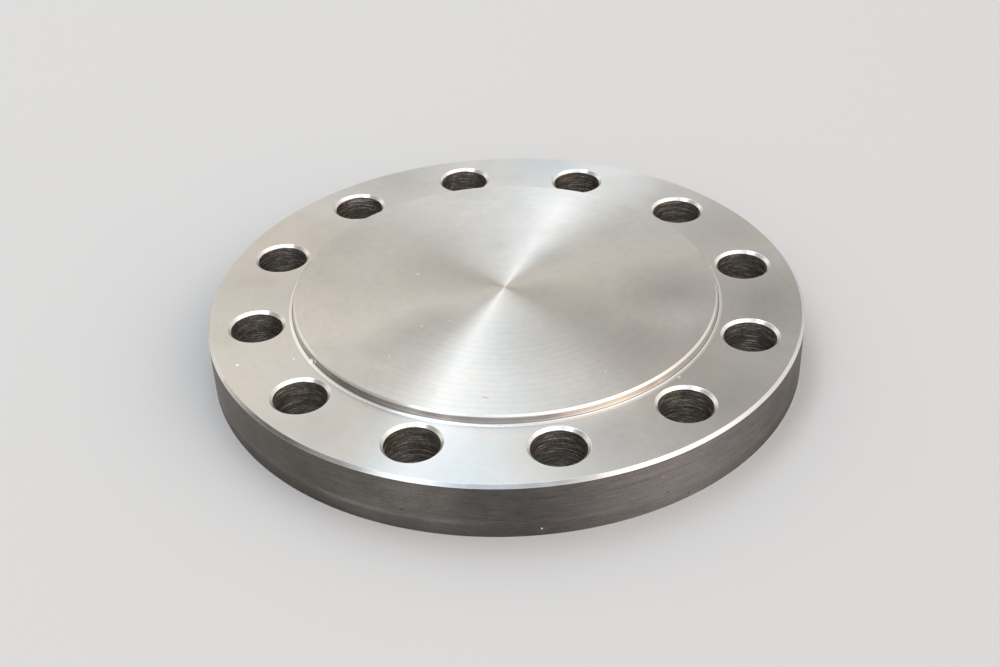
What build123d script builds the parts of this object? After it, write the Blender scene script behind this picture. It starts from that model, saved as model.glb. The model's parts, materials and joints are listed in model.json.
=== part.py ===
from build123d import *
import os

# Raised-face blind flange: one disc, turned all over and drilled for a ring of bolts.
# Lengths are in millimetres and +Z is up. The origin is the centre of the flat back face,
# and the raised sealing face looks up.

# Bolt ring
bolt_count = 12
bolt_circle_diameter = 88.0
bolt_diameter = 8.0
bolt_clearance = 1.0
hole_mouth_chamfer = 0.5

# Disc, with its margins taken from the bolt circle outwards to the rim and inwards to the raised face
rim_margin = 8.5
face_margin = 6.5
plate_thickness = 10.2
rim_chamfer = 0.5
back_edge_chamfer = 0.2

# Raised sealing face, whose root keeps the nose radius of the turning tool
face_height = 1.6
face_edge_chamfer = 0.4
face_root_radius = 0.8

# Radii and heights that follow from the sizes above
bolt_circle_radius = bolt_circle_diameter / 2
rim_radius = bolt_circle_radius + rim_margin
face_radius = bolt_circle_radius - face_margin
hole_radius = (bolt_diameter + bolt_clearance) / 2
overall_height = plate_thickness + face_height

# The bolt holes straddle the centre lines, so the first one lies half a pitch from +X
first_hole_angle = 180 / bolt_count

with BuildPart() as flange:
    # Half section of the stepped disc, revolved about its axis
    with BuildSketch(Plane.XZ):
        with BuildLine():
            Polyline(
                (0, 0),
                (rim_radius, 0),
                (rim_radius, plate_thickness),
                (face_radius, plate_thickness),
                (face_radius, overall_height),
                (0, overall_height),
                close=True,
            )
        make_face()
    revolve(axis=Axis.Z)

    # Turned edges: a hollow fillet at the foot of the step, and chamfers on the two outer corners
    turned_edges = flange.edges().filter_by(GeomType.CIRCLE).group_by(Axis.Z)
    root_edge, rim_edge = turned_edges[1].sort_by(SortBy.RADIUS)
    face_edge = turned_edges[-1]
    fillet(root_edge, radius=face_root_radius)
    chamfer(rim_edge, length=rim_chamfer)
    chamfer(face_edge, length=face_edge_chamfer)

    # Bolt holes, drilled through and opened at 45 degrees on the bolting side
    with Locations(Plane.XY.offset(plate_thickness)):
        with PolarLocations(bolt_circle_radius, bolt_count, start_angle=first_hole_angle):
            CounterSinkHole(
                radius=hole_radius,
                counter_sink_radius=hole_radius + hole_mouth_chamfer,
                counter_sink_angle=90,
            )

    # The back face is left flat, with the sharp edges of its rim and holes broken
    back_edges = flange.edges().filter_by(GeomType.CIRCLE).group_by(Axis.Z)[0]
    chamfer(back_edges, length=back_edge_chamfer)

flange.part.label = "blind_flange"

os.makedirs("parts", exist_ok=True)
export_step(flange.part, "parts/blind_flange.step")
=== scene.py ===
import json
import math

import bpy
from mathutils import Matrix, Vector


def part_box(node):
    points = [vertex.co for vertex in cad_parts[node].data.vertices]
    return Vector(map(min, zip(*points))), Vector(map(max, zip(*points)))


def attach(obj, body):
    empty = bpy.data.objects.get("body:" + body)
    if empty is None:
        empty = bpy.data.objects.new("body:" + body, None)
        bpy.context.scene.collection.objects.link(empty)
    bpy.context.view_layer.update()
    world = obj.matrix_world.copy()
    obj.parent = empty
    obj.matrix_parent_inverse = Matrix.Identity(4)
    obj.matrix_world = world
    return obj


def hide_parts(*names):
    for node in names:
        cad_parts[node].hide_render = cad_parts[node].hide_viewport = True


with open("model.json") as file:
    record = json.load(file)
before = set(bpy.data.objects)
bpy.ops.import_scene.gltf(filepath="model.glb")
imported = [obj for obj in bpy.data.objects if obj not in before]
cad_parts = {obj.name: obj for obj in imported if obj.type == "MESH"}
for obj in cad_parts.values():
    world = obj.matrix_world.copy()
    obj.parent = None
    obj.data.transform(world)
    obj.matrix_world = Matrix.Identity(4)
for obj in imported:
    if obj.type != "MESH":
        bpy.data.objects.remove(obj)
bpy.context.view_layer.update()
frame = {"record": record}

# A bare stainless-steel blind flange: raised face, step, bolting ring, drilled holes, rim and back.
# Lengths are in metres unless a name ends in _mm, and the flange lies on its back with +Z up.

MM = 0.001
NODE = "blind_flange"

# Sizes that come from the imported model
mounts = {mount["name"]: mount for mount in frame["record"]["mounts"]}
bolt_circle = mounts["bolt_circle"]
RIM_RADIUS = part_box(NODE)[1].x
FACE_Z = mounts["sealing_face"]["pos_m"][2]
RING_Z = bolt_circle["pos_m"][2]
BOLT_CIRCLE_RADIUS = bolt_circle["dims"]["pcd_mm"] / 2 * MM
HOLE_RADIUS = bolt_circle["dims"]["hole_r_mm"] * MM
HOLE_COUNT = bolt_circle["dims"]["count"]

# Sizes of the turned details, as in the part's source
FACE_MARGIN = 6.5 * MM
FACE_RADIUS = BOLT_CIRCLE_RADIUS - FACE_MARGIN
FACE_CHAMFER = 0.4 * MM
ROOT_RADIUS = 0.8 * MM
RIM_CHAMFER = 0.5 * MM
MOUTH_CHAMFER = 0.5 * MM
BACK_CHAMFER = 0.2 * MM
EDGE_BREAK = 0.04 * MM     # the tiny round that a file or the handling leaves on a machined edge
MOUTH_BREAK = 0.12 * MM    # the softer round where a hole's chamfer meets the ring

# Mesh fineness
STEPS_PER_HOLE = 40        # steps round the disc in the sector of one hole
SIDE_STEPS = 12            # steps along the straight sides of a sector
PATCH_RINGS = 4            # rings of faces from a hole's mouth out to its sector's boundary
BORE_ROWS = 8
BREAK_STEPS = 3
ROOT_STEPS = 12
PLACE_DIGITS = 8           # points that agree to so many decimals are one point

# Finishes, in the order of the piece's material slots
FACE, RING, CHAMFER, EDGE, STEP, RIM, BORE, BACK = range(8)

# Shader settings
TURNED_ROUGHNESS = 0.275   # the face and the ring
QUARTER_TURN = 0.25        # lays the stretched gloss across the grooves
FEED_WOBBLE = 5.0          # how many radians a full wobble shifts the feed grooves
NOISE_LOW = 0.3            # nearly all of a noise lies between these
NOISE_HIGH = 0.7
SPECK_CORE = 0.5           # where a speck begins to fade and where it is gone, as shares of its size
SPECK_EDGE = 0.8
PATCH_CORE = 0.6           # the same for a patch, once the stains have pushed its edge about
PATCH_EDGE = 1.6
PATCH_RAGGED = 1.2         # how far the stains push it


class Shell:
    """A closed mesh that knows the exact normal of each point and the finish of each face."""

    def __init__(self):
        self.points = []
        self.normals = []
        self.faces = []
        self.finishes = []
        self.found = {}

    def point(self, place, normal):
        """The index of a point. Points at the same place, in the mesh's own precision, are one point."""
        key = tuple(round(value, PLACE_DIGITS) for value in Vector(place))
        if key not in self.found:
            self.found[key] = len(self.points)
            self.points.append(tuple(place))
            self.normals.append(tuple(normal))
        return self.found[key]

    def bridge(self, row, next_row, finish):
        """One ring of faces between two closed rows with as many points each."""
        for i in range(len(row)):
            j = (i + 1) % len(row)
            corners = [row[i], row[j], next_row[j], next_row[i]]
            face = list(dict.fromkeys(corners))
            if len(face) > 2:
                self.faces.append(face)
                self.finishes.append(finish)

    def to_object(self, name):
        mesh = bpy.data.meshes.new(name)
        mesh.from_pydata(self.points, [], self.faces)
        mesh.polygons.foreach_set("material_index", self.finishes)
        mesh.polygons.foreach_set("use_smooth", [True] * len(self.faces))
        mesh.update()
        mesh.normals_split_custom_set_from_vertices(self.normals)
        piece = bpy.data.objects.new(name, mesh)
        bpy.context.scene.collection.objects.link(piece)
        return piece


def rounded_path(corners, side):
    """Rows (radius, z, normal_r, normal_z, finish) along a path of corners in a half section.

    A corner is (radius, z, round, finish of its arc, finish of the line that leaves it). The normals
    lie to the left of the path where side is 1, and to its right where side is -1."""
    places = [Vector((corner[0], corner[1])) for corner in corners]
    along = [(b - a).normalized() for a, b in zip(places, places[1:])]
    normals = [Vector((-d.y, d.x)) * side for d in along]
    rows = [(*places[0], *normals[0], corners[0][4])]
    for i in range(1, len(corners) - 1):
        size, arc_finish, line_finish = corners[i][2:]
        before, after = normals[i - 1], normals[i]
        turn = along[i - 1].angle_signed(along[i])
        bulge = 1 if turn * side > 0 else -1
        cut = size * math.tan(abs(turn) / 2)
        centre = places[i] - along[i - 1] * cut - before * size * bulge
        steps = BREAK_STEPS if size < ROOT_RADIUS / 2 else ROOT_STEPS
        for step in range(steps + 1):
            normal = before.slerp(after, step / steps)
            spot = centre + normal * size * bulge
            rows.append((*spot, *normal, arc_finish if step < steps else line_finish))
    rows.append((*places[-1], *normals[-1], corners[-1][4]))
    return rows


def disc_row(shell, row, steps):
    """The points of one path row, turned about the flange's axis."""
    radius, z, normal_r, normal_z, _ = row
    out = []
    for i in range(steps):
        angle = math.tau * i / steps
        c, s = math.cos(angle), math.sin(angle)
        out.append(shell.point((radius * c, radius * s, z), (normal_r * c, normal_r * s, normal_z)))
    return out


def sector_boundary(inner, outer, k):
    """Points round the sector of hole k, anticlockwise, on the same steps as the rows beside it."""
    steps = STEPS_PER_HOLE * HOLE_COUNT
    first, last = k * STEPS_PER_HOLE, (k + 1) * STEPS_PER_HOLE
    start, end = math.tau * first / steps, math.tau * last / steps
    polar = [(outer, math.tau * i / steps) for i in range(first, last)]
    polar += [(outer + (inner - outer) * j / SIDE_STEPS, end) for j in range(SIDE_STEPS)]
    polar += [(inner, math.tau * i / steps) for i in range(last, first, -1)]
    polar += [(inner + (outer - inner) * j / SIDE_STEPS, start) for j in range(SIDE_STEPS)]
    return [Vector((r * math.cos(a), r * math.sin(a))) for r, a in polar]


def hole_centre(k):
    """The axis of hole k in plan. The holes straddle the centre lines."""
    angle = math.tau * (k + 0.5) / HOLE_COUNT
    return Vector((math.cos(angle), math.sin(angle))) * BOLT_CIRCLE_RADIUS


def hole_row(shell, k, headings, row):
    """The points of one path row, turned about the axis of hole k."""
    radius, z, normal_r, normal_z, _ = row
    centre = hole_centre(k)
    out = []
    for heading in headings:
        spot = centre + heading * radius
        normal = heading * normal_r
        out.append(shell.point((spot.x, spot.y, z), (normal.x, normal.y, normal_z)))
    return out


def flat_patch(shell, boundary, mouth, z, up, finish):
    """Rings of faces on a flat ring, from a sector's boundary in to the mouth of its hole."""
    rows = []
    for ring in range(PATCH_RINGS + 1):
        share = ring / PATCH_RINGS
        spots = [a.lerp(b, share) for a, b in zip(boundary, mouth)]
        rows.append([shell.point((spot.x, spot.y, z), (0, 0, up)) for spot in spots])
    for outer, inner in zip(rows, rows[1:]):
        if up > 0:
            shell.bridge(outer, inner, finish)
        else:
            shell.bridge(inner, outer, finish)


def flange_shell():
    """The flange's whole surface, with its edges broken and its holes drilled."""
    shell = Shell()
    steps = STEPS_PER_HOLE * HOLE_COUNT

    # Raised face, its chamfer, the step and the hollow root, out to the bolting ring
    top = rounded_path([
        (0, FACE_Z, 0, FACE, FACE),
        (FACE_RADIUS - FACE_CHAMFER, FACE_Z, EDGE_BREAK, CHAMFER, STEP),
        (FACE_RADIUS, FACE_Z - FACE_CHAMFER, EDGE_BREAK, STEP, STEP),
        (FACE_RADIUS, RING_Z, ROOT_RADIUS, STEP, RING),
        (FACE_RADIUS + 2 * ROOT_RADIUS, RING_Z, 0, RING, RING),
    ], side=1)
    # Edge of the bolting ring, the rim and the edge of the back
    side = rounded_path([
        (RIM_RADIUS - 3 * RIM_CHAMFER, RING_Z, 0, RING, RING),
        (RIM_RADIUS - RIM_CHAMFER, RING_Z, EDGE_BREAK, CHAMFER, EDGE),
        (RIM_RADIUS, RING_Z - RIM_CHAMFER, EDGE_BREAK, CHAMFER, RIM),
        (RIM_RADIUS, BACK_CHAMFER, EDGE_BREAK, RIM, CHAMFER),
        (RIM_RADIUS - BACK_CHAMFER, 0, EDGE_BREAK, BACK, BACK),
        (RIM_RADIUS - 3 * RIM_CHAMFER, 0, 0, BACK, BACK),
    ], side=1)
    # Hole: mouth, chamfer, bore and back chamfer, as radii about the hole's own axis
    hole = rounded_path([
        (HOLE_RADIUS + 2 * MOUTH_CHAMFER, RING_Z, 0, RING, RING),
        (HOLE_RADIUS + MOUTH_CHAMFER, RING_Z, MOUTH_BREAK, CHAMFER, CHAMFER),
        (HOLE_RADIUS, RING_Z - MOUTH_CHAMFER, EDGE_BREAK, BORE, BORE),
        (HOLE_RADIUS, BACK_CHAMFER, EDGE_BREAK, BORE, CHAMFER),
        (HOLE_RADIUS + BACK_CHAMFER, 0, EDGE_BREAK, BACK, BACK),
        (HOLE_RADIUS + 2 * MOUTH_CHAMFER, 0, 0, BACK, BACK),
    ], side=-1)

    # The flats beyond the last rounds belong to the sector patches
    for path in (top[:-1], side[1:-1]):
        rings = [disc_row(shell, row, steps) for row in path]
        for i, row in enumerate(path[:-1]):
            shell.bridge(rings[i + 1], rings[i], row[4])
    # The middle of the back is one disc, out to where the sectors of its holes begin
    sector_start = BOLT_CIRCLE_RADIUS - 2 * (HOLE_RADIUS + BACK_CHAMFER)
    middle = [disc_row(shell, (radius, 0, 0, -1, BACK), steps) for radius in (0, sector_start)]
    shell.bridge(*middle, BACK)

    for k in range(HOLE_COUNT):
        centre = hole_centre(k)
        outer_edge, inner_edge = side[1][0], top[-2][0]
        front = sector_boundary(inner_edge, outer_edge, k)
        back = sector_boundary(sector_start, side[-2][0], k)
        headings = [(spot - centre).normalized() for spot in front]
        rows = []
        for row, following in zip(hole[1:-1], hole[2:]):
            rows.append(row)
            # The long wall of the bore is cut into even rows
            if row[4] == BORE and abs(row[1] - following[1]) > RING_Z / 2:
                drop = (following[1] - row[1]) / BORE_ROWS
                rows += [(row[0], row[1] + drop * i, *row[2:]) for i in range(1, BORE_ROWS)]
        rings = [hole_row(shell, k, headings, row) for row in rows]
        for i, row in enumerate(rows[:-1]):
            shell.bridge(rings[i], rings[i + 1], row[4])
        mouth = [centre + heading * rows[0][0] for heading in headings]
        back_mouth = [centre + heading * rows[-1][0] for heading in headings]
        flat_patch(shell, front, mouth, RING_Z, 1, RING)
        flat_patch(shell, back, back_mouth, 0, -1, BACK)
    return shell


class Graph:
    """Short calls that add and join the nodes of a material or a world."""

    def __init__(self, owner):
        owner.use_nodes = True
        self.tree = owner.node_tree
        self.tree.nodes.clear()

    def add(self, kind, inputs=None, **settings):
        node = self.tree.nodes.new(kind)
        for name, value in settings.items():
            setattr(node, name, value)
        for name, value in (inputs or {}).items():
            self.join(value, node.inputs[name])
        return node

    def math(self, operation, *values, clamp=False):
        node = self.add("ShaderNodeMath", dict(enumerate(values)), operation=operation, use_clamp=clamp)
        return node.outputs[0]

    def vector(self, operation, *values):
        node = self.add("ShaderNodeVectorMath", dict(enumerate(values)), operation=operation)
        scalar = operation in ("LENGTH", "DOT_PRODUCT", "DISTANCE")
        return node.outputs["Value" if scalar else "Vector"]

    def scale(self, vector, factor):
        node = self.add("ShaderNodeVectorMath", {"Vector": vector, "Scale": factor}, operation="SCALE")
        return node.outputs["Vector"]

    def combine(self, x, y, z):
        return self.add("ShaderNodeCombineXYZ", {"X": x, "Y": y, "Z": z}).outputs["Vector"]

    def noise(self, vector, detail, roughness):
        """Noise whose values lie round 0.5."""
        inputs = {"Vector": vector, "Scale": 1.0, "Detail": detail, "Roughness": roughness}
        return self.add("ShaderNodeTexNoise", inputs).outputs["Fac"]

    def spread(self, value, low, high, to_low=0.0, to_high=1.0):
        """Value taken from one range to another, and held inside it."""
        inputs = {"Value": value, "From Min": low, "From Max": high, "To Min": to_low, "To Max": to_high}
        return self.add("ShaderNodeMapRange", inputs, clamp=True).outputs["Result"]

    def blend(self, factor, first, second):
        """The first colour where the factor is 0, the second where it is 1."""
        node = self.tree.nodes.new("ShaderNodeMix")
        node.data_type = "VECTOR"
        for socket in node.inputs:
            if socket.identifier == "Factor_Float":
                self.join(factor, socket)
            elif socket.identifier == "A_Vector":
                self.join(first, socket)
            elif socket.identifier == "B_Vector":
                self.join(second, socket)
        return next(s for s in node.outputs if s.identifier == "Result_Vector")

    def join(self, value, socket):
        """Joins a socket to an input, or writes a plain value into it."""
        if isinstance(value, bpy.types.NodeSocket):
            self.tree.links.new(value, socket)
        elif socket.type == "RGBA" and len(value) == 3:
            socket.default_value = (*value, 1.0)
        else:
            socket.default_value = value


class Steel(Graph):
    """Machined steel whose tool marks run round an axis, with the coordinates that the marks follow."""

    def __init__(self, name, across, holes=False):
        """across is "radius" on a flat and "height" on a wall. On holes the marks run round each hole."""
        self.material = bpy.data.materials.new(name)
        super().__init__(self.material)
        self.place = self.add("ShaderNodeTexCoord").outputs["Object"]
        split = self.add("ShaderNodeSeparateXYZ", {"Vector": self.place})
        x, y, self.height = (split.outputs[axis] for axis in "XYZ")
        self.flat = self.combine(x, y, 0.0)
        self.radius = self.vector("LENGTH", self.flat)
        self.across = self.radius if across == "radius" else self.height
        if holes:
            normal = self.add("ShaderNodeNewGeometry").outputs["Normal"]
            outward = self.vector("MULTIPLY", normal, (1.0, 1.0, 0.0))
            self.around = self.scale(self.flat, 1 / HOLE_RADIUS)
        else:
            outward = self.flat
            self.around = self.vector("NORMALIZE", self.flat)
        groove = self.vector("CROSS_PRODUCT", (0.0, 0.0, 1.0), outward)
        self.groove = self.vector("NORMALIZE", groove)

    def marks(self, width_mm, turns, detail=2.0, roughness=0.55):
        """Tool marks about width_mm wide, which change turns times or so on their way round."""
        step = self.math("DIVIDE", self.across, width_mm * MM)
        spot = self.vector("ADD", self.scale(self.around, turns), self.combine(0.0, 0.0, step))
        return self.noise(spot, detail, roughness)

    def feed(self, pitch_mm, wobble):
        """The even grooves that a turning tool leaves at its feed, from 0 to 1, shifted by the wobble."""
        phase = self.math("DIVIDE", self.across, pitch_mm * MM / math.tau)
        phase = self.math("ADD", phase, self.math("MULTIPLY", wobble, FEED_WOBBLE))
        return self.math("MULTIPLY_ADD", self.math("SINE", phase), 0.5, 0.5)

    def cloud(self, size_mm, detail=3.0, roughness=0.55):
        """Soft noise in patches of about size_mm."""
        return self.noise(self.scale(self.place, 1000.0 / size_mm), detail, roughness)

    def shade(self, tone, *swings):
        """The tone times one plus each swing, which is a value with its reach."""
        for value, reach in swings:
            tone = self.scale(tone, self.spread(value, NOISE_LOW, NOISE_HIGH, 1 - reach, 1 + reach))
        return tone

    def speck(self, tone, metallic, mark):
        """A grain of dust or rust, or a nick's painted glint, on the tone. Returns the new tone and
        metallic value.
        """
        place, size_mm, colour = mark
        distance = self.vector("DISTANCE", self.place, place)
        size = size_mm * MM
        inside = self.spread(distance, SPECK_CORE * size, SPECK_EDGE * size, 1.0, 0.0)
        return self.blend(inside, tone, colour), self.math("SUBTRACT", metallic, inside, clamp=True)

    def smudge(self, tone, stains, mark):
        """A patch of another shade on the tone, with an edge broken up by the stains."""
        place, size_mm, strength, colour = mark
        distance = self.vector("DISTANCE", self.place, place)
        size = size_mm * MM
        ragged = self.math("MULTIPLY_ADD", stains, PATCH_RAGGED * size, distance)
        inside = self.spread(ragged, PATCH_CORE * size, PATCH_EDGE * size, strength, 0.0)
        return self.blend(inside, tone, colour)

    def finish(self, tone, roughness, bumps, anisotropy=1.0, marks=()):
        """Ends the material. bumps are heights from 0 to 1 with their depths in thousandths of a mm."""
        height = 0.0
        for value, depth_um in bumps:
            height = self.math("ADD", height, self.math("MULTIPLY", value, depth_um / 1000))
        bump = self.add("ShaderNodeBump", {"Height": height, "Strength": 1.0, "Distance": MM})
        metallic = 1.0
        for mark in marks:
            tone, metallic = self.speck(tone, metallic, mark)
        shader = self.add("ShaderNodeBsdfPrincipled", {
            "Base Color": tone, "Metallic": metallic, "Roughness": roughness,
            "Anisotropic": anisotropy, "Anisotropic Rotation": QUARTER_TURN,
            "Normal": bump.outputs["Normal"], "Tangent": self.groove,
        })
        self.add("ShaderNodeOutputMaterial", {"Surface": shader.outputs["BSDF"]})
        return self.material


def on_disc(radius_mm, azimuth, z):
    """The place of a mark, from its radius and its degrees round from +X."""
    angle = math.radians(azimuth)
    return (radius_mm * MM * math.cos(angle), radius_mm * MM * math.sin(angle), z)


# Colours of the marks and patches
# White specks: dust, and one painted glint
DUST_AND_GLINT = (0.90, 0.90, 0.88)
RUST = (0.55, 0.24, 0.08)
GRIT = (0.03, 0.02, 0.02)
GREASE = (0.60, 0.55, 0.49)
SWARF = (0.72, 0.58, 0.42)
STAIN = (0.52, 0.48, 0.43)
MID_GREY = (0.50, 0.49, 0.48)
# Painted shade for the rim's chamfer
EDGE_SHADE = (0.20, 0.195, 0.19)
BLUISH = (0.53, 0.58, 0.62)
NEAR_WHITE = (0.88, 0.87, 0.86)
# Painted light on the step: a glint and highlight, a warm reflection on its wall and a dark line of shade
STEP_GLINT = (0.88, 0.87, 0.85)
WALL_REFLECTION = (0.62, 0.57, 0.52)
ROOT_SHADE = (0.26, 0.27, 0.29)
# Painted light on the rim: a darker colour for painted shade and a lighter one for a painted reflection
RIM_SHADE = (0.11, 0.10, 0.095)
RIM_SHEEN = (0.225, 0.222, 0.232)
CREAM = (0.86, 0.82, 0.75)
# Painted shade for the step's wall
GREY_WALL_SHADE = (0.33, 0.33, 0.31)
BROWN_WALL_SHADE = (0.34, 0.30, 0.27)

# Colours of the steel. The rim's and the bores' are darkened as painted shade, and the chamfers' whitened
# past bare steel as painted highlight
WARM_STEEL = (0.715, 0.695, 0.665)
COOL_STEEL = (0.685, 0.695, 0.685)
# Whiter than bare steel: part of the chamfers' white is painted highlight
CHAMFER_STEEL_WITH_HIGHLIGHT = (0.92, 0.91, 0.89)
EDGE_STEEL = (0.80, 0.79, 0.77)
BACK_STEEL = (0.66, 0.65, 0.63)
# Painted shade: the rim's dark colour stands in for the dark ground that it mirrors
SHADED_RIM_STEEL = (0.175, 0.160, 0.145)
RIM_LINE = (0.34, 0.32, 0.30)
# Painted contact shadow at the rim's bottom edge
RIM_CONTACT_SHADOW = (0.08, 0.075, 0.07)
# Painted shade in the bores, with lighter rings and scratches that paint glints on the drill's marks
SHADED_BORE_STEEL = (0.225, 0.200, 0.178)
BORE_RINGS = (0.50, 0.46, 0.41)
BORE_SCRATCH_GLINTS = (0.95, 0.91, 0.85)

# Specks and nicks that the photograph shows: place, size in mm and colour. The three stains side by
# side on the face make one short scratch.
FACE_MARKS = [
    (on_disc(31.0, 306.0, FACE_Z), 0.25, DUST_AND_GLINT),
    (on_disc(33.0, 254.0, FACE_Z), 0.20, STAIN),
    (on_disc(32.0, 253.0, FACE_Z), 0.20, STAIN),
    (on_disc(35.5, 267.0, FACE_Z), 0.22, STAIN),
    (on_disc(26.0, 279.0, FACE_Z), 0.22, STAIN),
    (on_disc(32.6, 268.0, FACE_Z), 0.30, STAIN),
    (on_disc(32.7, 268.7, FACE_Z), 0.32, STAIN),
    (on_disc(32.7, 269.4, FACE_Z), 0.30, STAIN),
    (on_disc(18.5, 224.0, FACE_Z), 0.35, GREASE),
    (on_disc(28.0, 231.0, FACE_Z), 0.30, GREASE),
    (on_disc(16.5, 166.5, FACE_Z), 0.40, GREASE),
    (on_disc(14.0, 232.0, FACE_Z), 0.30, GREASE),
]
RING_MARKS = [
    (on_disc(49.0, 208.0, RING_Z), 0.40, DUST_AND_GLINT),
    (on_disc(40.0, 211.5, RING_Z), 0.30, DUST_AND_GLINT),
    (on_disc(38.5, 321.5, RING_Z), 0.45, SWARF),
]
STEP_MARKS = [
    # This white speck is the painted glint of a nick in the step
    (on_disc(38.0, 215.0, RING_Z + 0.2 * MM), 0.8, DUST_AND_GLINT),
    (on_disc(37.5, 216.5, RING_Z + 0.5 * MM), 0.4, SWARF),
]
RIM_MARKS = [
    (on_disc(52.5, 301.5, 6.5 * MM), 0.25, RUST),
    (on_disc(52.5, 302.5, 3.0 * MM), 0.22, GRIT),
    (on_disc(52.5, 307.0, 1.0 * MM), 0.22, GRIT),
    (on_disc(52.5, 256.5, 4.0 * MM), 0.30, GRIT),
    (on_disc(52.5, 280.0, 1.5 * MM), 0.22, DUST_AND_GLINT),
]

# Patches of another shade that the photograph shows: place, reach in mm, strength and colour
FACE_PATCHES = [
    (on_disc(15.0, 225.0, FACE_Z), 6.0, 0.50, MID_GREY),
    (on_disc(21.0, 225.0, FACE_Z), 7.0, 0.75, MID_GREY),
    (on_disc(28.0, 226.0, FACE_Z), 6.0, 0.50, MID_GREY),
    (on_disc(18.0, 289.0, FACE_Z), 12.0, 0.40, MID_GREY),
    (on_disc(20.0, 122.0, FACE_Z), 9.0, 0.30, MID_GREY),
    (on_disc(30.0, 0.0, FACE_Z), 11.0, 0.90, MID_GREY),
    (on_disc(28.0, 322.0, FACE_Z), 10.0, 0.40, MID_GREY),
    (on_disc(32.0, 344.0, FACE_Z), 8.0, 0.45, NEAR_WHITE),
    (on_disc(28.0, 78.0, FACE_Z), 20.0, 0.60, NEAR_WHITE),
    (on_disc(26.0, 158.0, FACE_Z), 10.0, 0.40, NEAR_WHITE),
]
RING_PATCHES = [
    (on_disc(46.0, 1.0, RING_Z), 16.0, 1.00, MID_GREY),
    (on_disc(46.0, 293.0, RING_Z), 18.0, 0.70, MID_GREY),
    (on_disc(47.0, 320.0, RING_Z), 14.0, 0.60, MID_GREY),
    (on_disc(46.0, 30.0, RING_Z), 13.0, 0.50, MID_GREY),
    (on_disc(50.0, 120.0, RING_Z), 16.0, 0.75, MID_GREY),
    (on_disc(51.0, 82.0, RING_Z), 14.0, 0.50, BLUISH),
    (on_disc(51.0, 262.0, RING_Z), 16.0, 0.70, BLUISH),
    (on_disc(46.0, 158.0, RING_Z), 18.0, 0.90, CREAM),
]
# Painted light on the rim's chamfer: the darker stretches are painted shade and the bluish one a painted
# reflection
EDGE_LIGHT_AND_SHADE = [
    (on_disc(52.2, 193.0, RING_Z), 10.0, 0.50, MID_GREY),
    (on_disc(52.2, 229.0, RING_Z), 17.0, 0.90, EDGE_SHADE),
    (on_disc(52.2, 268.0, RING_Z), 22.0, 0.80, BLUISH),
    (on_disc(52.2, 283.0, RING_Z), 13.0, 0.75, EDGE_SHADE),
]
# Painted light on the rim: the dark patches are painted shade, the cool grey one a painted lighter
# reflection
RIM_LIGHT_AND_SHADE = [
    (on_disc(52.5, 276.0, 5.0 * MM), 24.0, 0.45, RIM_SHADE),
    (on_disc(52.5, 278.0, 3.0 * MM), 12.0, 0.70, RIM_SHADE),
    (on_disc(52.5, 308.0, 7.0 * MM), 25.0, 0.95, RIM_SHEEN),
    (on_disc(52.5, 348.0, 2.0 * MM), 20.0, 0.90, RIM_SHADE),
]
# Painted shade on the step's wall, where it mirrors dark surroundings
STEP_WALL_SHADES = [
    (on_disc(37.5, 230.0, RING_Z), 20.0, 0.95, GREY_WALL_SHADE),
    (on_disc(37.5, 264.0, RING_Z), 18.0, 0.95, BROWN_WALL_SHADE),
]

# The waves of the face lie about one place in front: whole within the first reach, gone past the second
WAVES_PLACE = on_disc(34.0, 272.0, FACE_Z)
WAVES_REACH_MM = (10.0, 26.0)
# Heights over the ring between which the step's bands of painted light give way one to the next: the
# painted glint low in the root, a painted dark line of shade, the wall's painted warm reflection and the
# chamfer's painted highlight
STEP_LIGHT_BANDS_MM = [(0.19, 0.23), (0.36, 0.42), (1.26, 1.32)]
# The rim's pale line: the heights where it begins, is whole, starts to fade and is gone
RIM_LINE_MM = (2.2, 2.8, 3.0, 3.6)
RIM_CONTACT_SHADOW_MM = 3.0          # how high the painted contact shadow at the rim's bottom reaches


def face_steel():
    """The sealing face: even feed grooves with wider waves in front, faint stains and handling marks."""
    steel = Steel("turned_face", "radius")
    rings, mottle = steel.marks(0.5, 0.8, 1.0), steel.cloud(1.5)
    feed, waves = steel.feed(0.5, 0.0), steel.feed(1.5, 0.0)
    reach = steel.vector("DISTANCE", steel.place, WAVES_PLACE)
    whole, gone = (reach_mm * MM for reach_mm in WAVES_REACH_MM)
    near = steel.spread(reach, whole, gone, 1.0, 0.0)
    waves = steel.math("MULTIPLY_ADD", steel.math("SUBTRACT", waves, 0.5), near, 0.5)
    stains, tint = steel.cloud(18.0, 4.0, 0.6), steel.cloud(9.0)
    tone = steel.blend(steel.spread(tint, 0.35, 0.65), WARM_STEEL, COOL_STEEL)
    tone = steel.blend(steel.spread(stains, 0.50, 0.72, 0.0, 0.30), tone, STAIN)
    for patch in FACE_PATCHES:
        tone = steel.smudge(tone, stains, patch)
    tone = steel.shade(tone, (rings, 0.012), (feed, 0.016), (waves, 0.018), (mottle, 0.03))
    return steel.finish(tone, TURNED_ROUGHNESS, [(feed, 0.5)], marks=FACE_MARKS)


def ring_steel():
    """The bolting ring: without the feed grooves of the face, but with the same kind of stains."""
    steel = Steel("turned_ring", "radius")
    rings, mottle = steel.marks(0.5, 0.8, 1.0), steel.cloud(1.5)
    stains, tint = steel.cloud(12.0, 4.0, 0.6), steel.cloud(7.0)
    tone = steel.blend(steel.spread(tint, 0.35, 0.65), WARM_STEEL, COOL_STEEL)
    tone = steel.blend(steel.spread(stains, 0.50, 0.72, 0.0, 0.35), tone, STAIN)
    for patch in RING_PATCHES:
        tone = steel.smudge(tone, stains, patch)
    tone = steel.shade(tone, (rings, 0.012), (mottle, 0.02))
    return steel.finish(tone, TURNED_ROUGHNESS, [(rings, 0.5)], marks=RING_MARKS)


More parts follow.
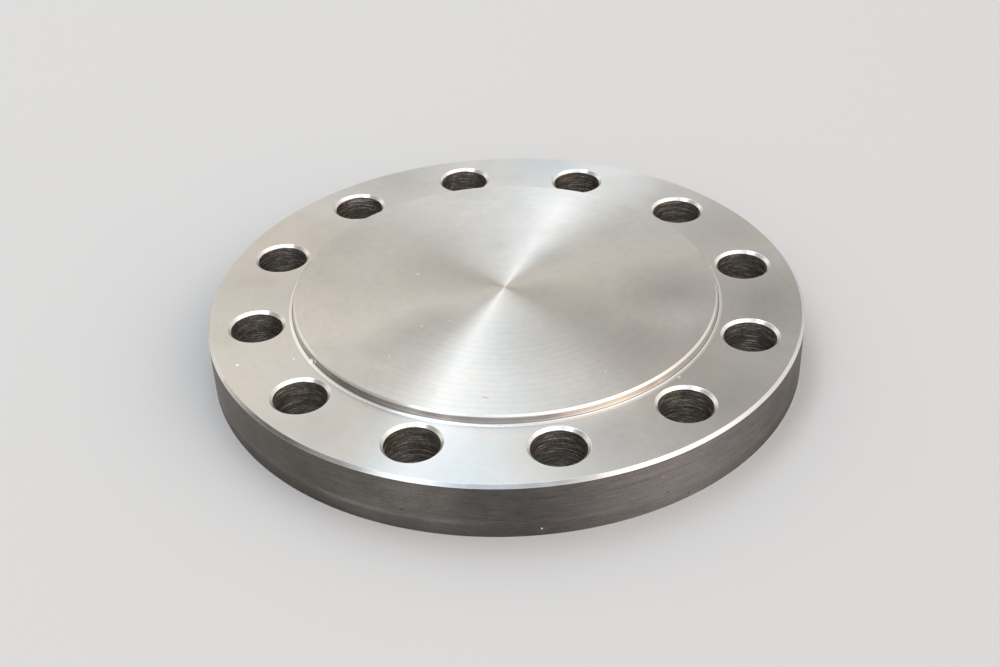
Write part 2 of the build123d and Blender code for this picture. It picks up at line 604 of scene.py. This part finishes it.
def chamfer_steel():
    """Bright hole mouths, back edges and tiny rounds, whiter than bare steel as a partly painted
    highlight, with marks that run round their own axis.
    """
    steel = Steel("bright_chamfer", "height", holes=True)
    fine = steel.marks(0.10, 1.5)
    tone = steel.shade(CHAMFER_STEEL_WITH_HIGHLIGHT, (fine, 0.02))
    return steel.finish(tone, steel.spread(fine, 0.25, 0.75, 0.22, 0.25), [(fine, 0.1)])


def edge_steel():
    """The chamfer of the rim: bright, with darker and bluish stretches of painted shade and painted
    reflection.
    """
    steel = Steel("rim_edge", "height")
    fine, stains = steel.marks(0.12, 20.0), steel.cloud(6.0)
    tone = EDGE_STEEL
    for patch in EDGE_LIGHT_AND_SHADE:
        tone = steel.smudge(tone, stains, patch)
    tone = steel.shade(tone, (fine, 0.06))
    return steel.finish(tone, steel.spread(fine, 0.25, 0.75, 0.22, 0.26), [(fine, 0.2)])


def step_steel():
    """The step, in painted light: a painted highlight on the chamfer, a tan painted reflection on the wall
    and, low in the hollow root, a painted dark line of shade and a painted glint.
    """
    steel = Steel("turned_step", "height")
    fine, stains = steel.marks(0.1, 9.0), steel.cloud(6.0)
    height = steel.math("SUBTRACT", steel.height, RING_Z)
    # The wall's tan is a painted warm reflection
    wall = WALL_REFLECTION
    for patch in STEP_WALL_SHADES:
        wall = steel.smudge(wall, stains, patch)
    # Bands of painted light: a glint in the root, a line of shade, the wall's reflection and the chamfer's
    # highlight
    tone = STEP_GLINT
    for (low_mm, high_mm), colour in zip(STEP_LIGHT_BANDS_MM, (ROOT_SHADE, wall, STEP_GLINT)):
        tone = steel.blend(steel.spread(height, low_mm * MM, high_mm * MM), tone, colour)
    tone = steel.shade(tone, (fine, 0.05))
    return steel.finish(tone, steel.spread(fine, 0.25, 0.75, 0.22, 0.28), [(fine, 0.2)], marks=STEP_MARKS)


def rim_steel():
    """The rim: a duller cut, darkened as painted shade, with a pale line low down and a painted contact
    shadow along the bottom.
    """
    steel = Steel("turned_rim", "height")
    fine, coarse = steel.marks(0.20, 14.0), steel.marks(0.7, 3.0)
    grain = steel.cloud(0.28, 3.0, 0.7)
    patches = steel.cloud(6.0, 4.0, 0.6)
    begins, whole, fades, gone = (height_mm * MM for height_mm in RIM_LINE_MM)
    line = steel.math("MULTIPLY", steel.spread(steel.height, fades, gone, 1.0, 0.0),
                      steel.spread(steel.height, begins, whole))
    line = steel.math("MULTIPLY", line, steel.spread(steel.marks(1.2, 3.0), 0.35, 0.60, 0.15, 0.45))
    # Painted contact shadow: darker towards the bottom of the rim
    contact_shadow = steel.spread(steel.height, 0.0, RIM_CONTACT_SHADOW_MM * MM, 0.50, 0.0)
    # The rim's base colour is painted shade, for the dark ground that it mirrors
    tone = steel.blend(line, SHADED_RIM_STEEL, RIM_LINE)
    tone = steel.blend(contact_shadow, tone, RIM_CONTACT_SHADOW)
    for patch in RIM_LIGHT_AND_SHADE:
        tone = steel.smudge(tone, patches, patch)
    tone = steel.shade(tone, (fine, 0.17), (coarse, 0.07), (grain, 0.16), (patches, 0.10))
    roughness = steel.spread(coarse, 0.25, 0.75, 0.44, 0.52)
    return steel.finish(tone, roughness, [(fine, 1.0), (coarse, 1.0)], anisotropy=0.9, marks=RIM_MARKS)


def bore_steel():
    """The drilled bores: darkened as painted shade, with the drill's broken rings and scratches painted
    lighter as their glints.
    """
    steel = Steel("drilled_bore", "height", holes=True)
    fine, coarse = steel.marks(0.15, 5.0), steel.marks(0.9, 0.7)
    grain = steel.cloud(0.4, 2.0)
    rings = steel.spread(steel.marks(0.45, 0.6, 2.0), 0.54, 0.64, 0.0, 0.6)
    scratches = steel.spread(steel.marks(0.12, 1.2, 2.0, 0.6), 0.58, 0.65)
    # Painted shade darkens the bore; the drill's real rings and scratches are painted lighter as their
    # glints
    tone = steel.blend(rings, SHADED_BORE_STEEL, BORE_RINGS)
    tone = steel.blend(scratches, tone, BORE_SCRATCH_GLINTS)
    tone = steel.shade(tone, (fine, 0.20), (coarse, 0.15), (grain, 0.35))
    roughness = steel.spread(fine, 0.3, 0.7, 0.38, 0.52)
    return steel.finish(tone, roughness, [(coarse, 2.0), (rings, 1.0)], anisotropy=0.6)


def back_steel():
    """The back: a plain turned flat."""
    steel = Steel("turned_back", "radius")
    fine, coarse = steel.marks(0.14, 9.0), steel.marks(0.8, 4.0)
    tone = steel.shade(BACK_STEEL, (fine, 0.04), (coarse, 0.03))
    roughness = steel.spread(coarse, 0.25, 0.75, 0.33, 0.37)
    return steel.finish(tone, roughness, [(steel.feed(0.2, coarse), 0.8), (fine, 0.6)])


def finishes():
    """The piece's materials, in the order of the finish numbers."""
    return [face_steel(), ring_steel(), chamfer_steel(), edge_steel(),
            step_steel(), rim_steel(), bore_steel(), back_steel()]


def build_flange():
    """The finished piece, in place of the plain solid."""
    piece = flange_shell().to_object("blind_flange_turned")
    for material in finishes():
        piece.data.materials.append(material)
    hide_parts(NODE)
    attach(piece, "root")
    return piece


# Camera, as fitted to the photograph: it looks at a point near the flange's foot
VIEW_AZIMUTH = 5.51        # degrees round from -Y
VIEW_ELEVATION = 34.34
VIEW_DISTANCE = 267.33 * MM
VIEW_ROLL = -2.12
VIEW_AIM = (-1.40 * MM, 2.56 * MM)
LENS_MM = 52.45
SENSOR_MM = 36.0


def make_camera():
    """The photograph's camera, which sees the whole flange from a little above."""
    data = bpy.data.cameras.new("camera")
    data.lens = LENS_MM
    data.sensor_width = SENSOR_MM
    data.clip_start = 0.01
    data.clip_end = 50.0
    camera = bpy.data.objects.new("camera", data)
    bpy.context.scene.collection.objects.link(camera)
    azimuth, elevation = math.radians(VIEW_AZIMUTH), math.radians(VIEW_ELEVATION)
    back = Vector((math.sin(azimuth) * math.cos(elevation),
                   -math.cos(azimuth) * math.cos(elevation),
                   math.sin(elevation)))
    turn = back.to_track_quat("Z", "Y") @ Matrix.Rotation(math.radians(VIEW_ROLL), 3, "Z").to_quaternion()
    camera.matrix_world = Matrix.LocRotScale(Vector((*VIEW_AIM, 0)) + back * VIEW_DISTANCE, turn, None)
    bpy.context.scene.camera = camera


# Stage
FLOOR_SIZE = 6.0
FLOOR_COLOUR = (0.62, 0.62, 0.62)
FLOOR_GAP = 0.02 * MM      # keeps the floor clear of the flange's back


def make_floor():
    """A plain pale floor under the flange."""
    half = FLOOR_SIZE / 2
    corners = [(-half, -half, 0), (half, -half, 0), (half, half, 0), (-half, half, 0)]
    mesh = bpy.data.meshes.new("floor")
    mesh.from_pydata(corners, [], [(0, 1, 2, 3)])
    floor = bpy.data.objects.new("floor", mesh)
    bpy.context.scene.collection.objects.link(floor)
    floor.location.z = -FLOOR_GAP
    material = bpy.data.materials.new("floor")
    graph = Graph(material)
    shader = graph.add("ShaderNodeBsdfPrincipled",
                       {"Base Color": FLOOR_COLOUR, "Roughness": 0.9, "Specular IOR Level": 0.2})
    graph.add("ShaderNodeOutputMaterial", {"Surface": shader.outputs["BSDF"]})
    mesh.materials.append(material)


# Light: two long lamps overhead, side by side, in a studio of soft pale cards. All colours are linear.
# name: centre, length, width, turn from +X in degrees, colour
LAMPS = {
    "overhead_softbox": ((-0.33, -0.06, 1.0), 2.0, 0.44, 68.5, (0.81, 0.91, 0.97)),
    "overhead_tube": ((-0.30, 0.10, 1.0), 1.2, 0.03, 75.6, (4.1, 4.2, 4.5)),
}
LAMP_POWER = 4             # watts per square metre: a lamp's radiance is 4 / pi times its colour
# name: elevation, azimuth from +X, colour at its middle
CARDS = {
    "zenith": (90, 0, (0.28, 0.24, 0.20)),
    "high_rear": (65, 120, (0.35, 0.45, 0.60)),
    "right": (38, 0, (0.90, 0.88, 0.85)),
    "rear": (38, 120, (0.78, 0.70, 0.58)),
    "front": (42, 275, (0.80, 0.90, 1.05)),
    "front_right": (42, 318, (1.40, 1.35, 1.30)),
    "low_right": (12, 30, (0.60, 0.55, 0.50)),
    "low_rear_right": (12, 60, (0.22, 0.26, 0.30)),
    "low_rear_left": (12, 150, (0.55, 0.56, 0.55)),
    "low_front_left": (12, 240, (1.2, 1.2, 1.25)),
    "low_front_right": (12, 330, (2.1, 1.6, 1.2)),
}
CARD_SHARPNESS = 12.0      # how fast a card's glow fades from its middle
ROOM = (0.31, 0.29, 0.27)  # the pale walls between the cards


def make_lamps():
    """The lamps, each with a power in step with its area, so that its colour sets its brightness."""
    for name, (centre, length, width, turn, colour) in LAMPS.items():
        data = bpy.data.lights.new(name, "AREA")
        data.shape = "RECTANGLE"
        data.size = length
        data.size_y = width
        data.color = colour
        data.energy = LAMP_POWER * length * width
        lamp = bpy.data.objects.new(name, data)
        bpy.context.scene.collection.objects.link(lamp)
        lamp.location = centre
        lamp.rotation_euler.z = math.radians(turn)


def make_world():
    """The room: pale walls and the cards, each a round glow in its own direction."""
    world = bpy.data.worlds.new("studio")
    bpy.context.scene.world = world
    graph = Graph(world)
    heading = graph.vector("NORMALIZE", graph.add("ShaderNodeTexCoord").outputs["Generated"])
    light = ROOM
    for elevation, azimuth, colour in CARDS.values():
        e, a = math.radians(elevation), math.radians(azimuth)
        centre = (math.cos(e) * math.cos(a), math.cos(e) * math.sin(a), math.sin(e))
        closeness = graph.math("SUBTRACT", graph.vector("DOT_PRODUCT", heading, centre), 1.0)
        glow = graph.math("EXPONENT", graph.math("MULTIPLY", closeness, CARD_SHARPNESS))
        light = graph.vector("ADD", graph.scale(colour, glow), light)
    background = graph.add("ShaderNodeBackground", {"Color": light, "Strength": 1.0})
    graph.add("ShaderNodeOutputWorld", {"Surface": background.outputs["Background"]})


build_flange()
make_camera()
make_floor()
make_lamps()
make_world()
bpy.context.scene.view_settings.view_transform = "Standard"
